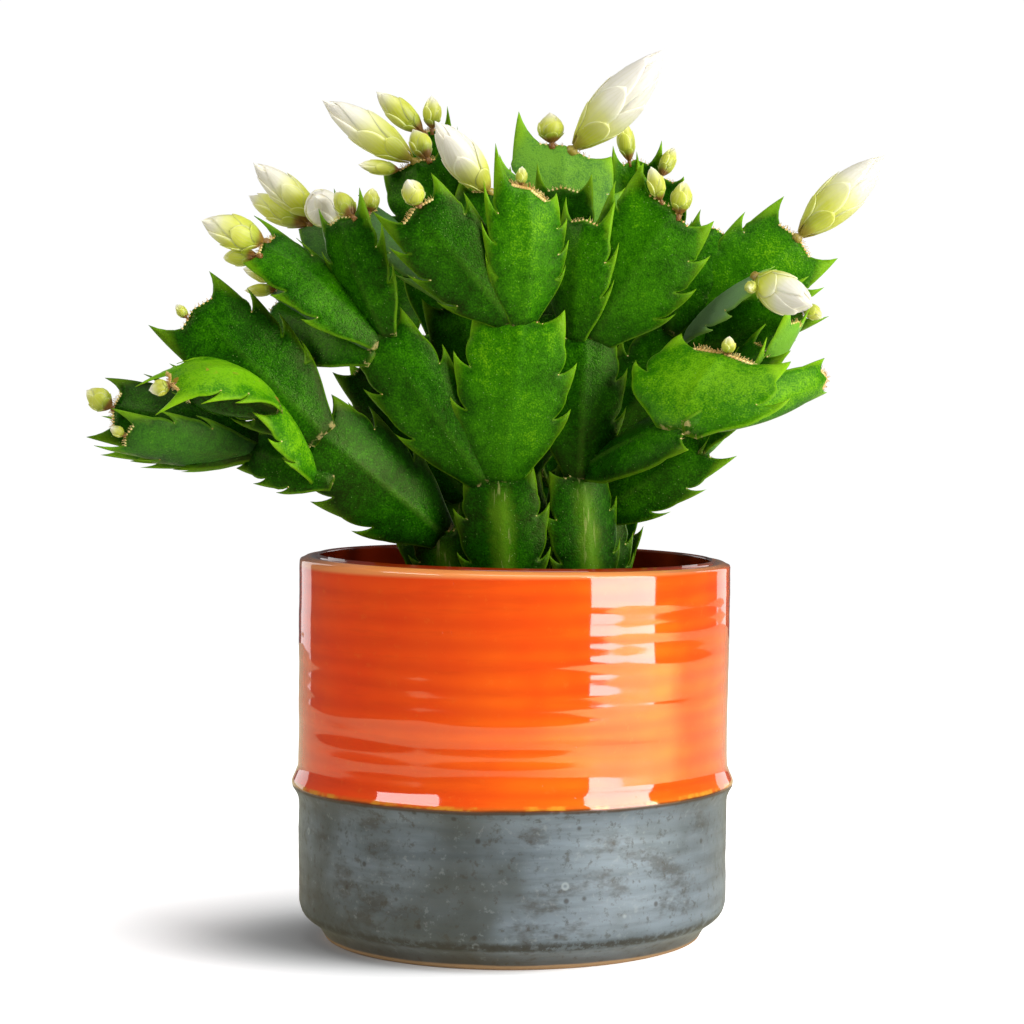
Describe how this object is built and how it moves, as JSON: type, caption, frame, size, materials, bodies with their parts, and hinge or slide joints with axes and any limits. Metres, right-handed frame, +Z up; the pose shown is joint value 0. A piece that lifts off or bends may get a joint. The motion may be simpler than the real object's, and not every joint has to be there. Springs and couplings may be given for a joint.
{
  "type": "potted christmas cactus",
  "caption": "Flat toothed cactus pads in arching, forking chains with closed cream-white flower buds, rooted in soil in a round two-glaze pot.",
  "frame": {"origin": "centre of the pot's flat underside", "axes": "+Z up along the pot's axis, -Y towards the front of the plant, +X to the right seen from the front"},
  "size_m": [0.249, 0.1926, 0.2835],
  "materials": {
    "glaze": "gloss",
    "soil": "matte",
    "pad": "satin",
    "large_bud": "satin",
    "small_bud": "satin"
  },
  "bodies": {
    "root": {"pot": "glaze", "soil": "soil", "stem_left": "pad", "stem_front": "pad", "stem_left_inner": "pad", "stem_middle": "pad", "stem_right": "pad", "stem_right_side": "pad", "stem_right_inner": "pad", "stem_rear_left": "pad", "stem_rear": "pad", "stem_rear_right": "pad", "bud_large_1": "large_bud", "bud_large_2": "large_bud", "bud_large_3": "large_bud", "bud_large_4": "large_bud", "bud_large_5": "large_bud", "bud_large_6": "large_bud", "bud_large_7": "large_bud", "bud_large_8": "large_bud", "bud_large_9": "large_bud", "bud_large_10": "large_bud", "bud_large_11": "large_bud", "bud_small_1": "small_bud", "bud_small_2": "small_bud", "bud_small_3": "small_bud", "bud_small_4": "small_bud", "bud_small_5": "small_bud", "bud_small_6": "small_bud", "bud_small_7": "small_bud", "bud_small_8": "small_bud", "bud_small_9": "small_bud", "bud_small_10": "small_bud", "bud_small_11": "small_bud", "bud_small_12": "small_bud", "bud_small_13": "small_bud", "bud_small_14": "small_bud", "bud_small_15": "small_bud", "bud_small_16": "small_bud", "bud_small_17": "small_bud", "bud_small_18": "small_bud", "bud_small_19": "small_bud", "bud_small_20": "small_bud", "bud_small_21": "small_bud", "bud_small_22": "small_bud", "bud_small_23": "small_bud", "bud_small_24": "small_bud", "bud_small_25": "small_bud", "bud_small_26": "small_bud", "bud_small_27": "small_bud"}
  },
  "joints": []
}
